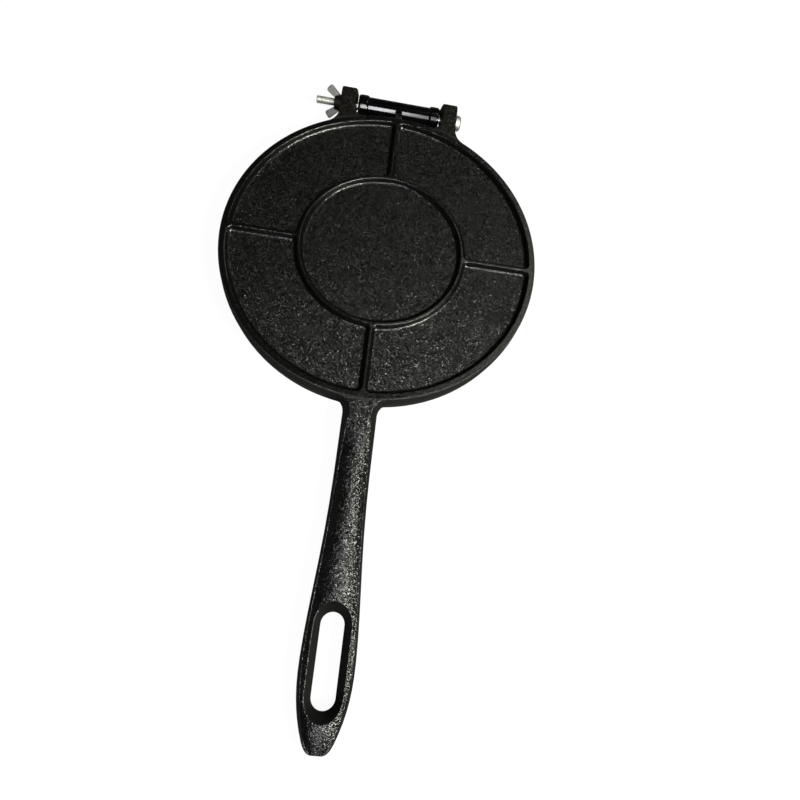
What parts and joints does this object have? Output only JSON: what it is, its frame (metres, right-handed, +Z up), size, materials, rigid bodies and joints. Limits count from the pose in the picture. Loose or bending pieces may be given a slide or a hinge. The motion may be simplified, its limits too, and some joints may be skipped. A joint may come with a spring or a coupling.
{
  "type": "hinged egg roll pan",
  "caption": "Hinged cast iron pan: round ribbed plates that close on a thin cooking space, each with a long slotted handle cast on, joined at a bolted barrel hinge.",
  "frame": {"origin": "under the middle of the pan's bounding box, on the surface that it lies on", "axes": "+Y from the handle tips to the hinge, +Z up through the closed plates, +X along the hinge towards the bolt's head"},
  "size_m": [0.2, 0.406, 0.0173],
  "materials": {
    "seasoned_iron": "sand cast, seasoned black, fine grain with a low oily sheen",
    "zinc_steel": "zinc plated, bright"
  },
  "bodies": {
    "lower_plate": {"lower_plate": "seasoned_iron"},
    "upper_plate": {"upper_plate": "seasoned_iron"},
    "hinge_bolt": {"hinge_bolt": "zinc_steel"},
    "wing_nut": {"wing_nut": "zinc_steel"}
  },
  "joints": [
    {"name": "lid_hinge", "type": "hinge", "parent": "lower_plate", "child": "upper_plate", "pos_m": [0, 0.19325, 0.00865], "axis": [-1, 0, 0], "range_deg": [0, 180]},
    {"name": "bolt_turn", "type": "hinge", "parent": "upper_plate", "child": "hinge_bolt", "pos_m": [0, 0.19325, 0.00865], "axis": [1, 0, 0], "continuous": true},
    {"name": "wing_nut_turn", "type": "hinge", "parent": "hinge_bolt", "child": "wing_nut", "pos_m": [-0.042, 0.19325, 0.00865], "axis": [1, 0, 0], "continuous": true}
  ]
}
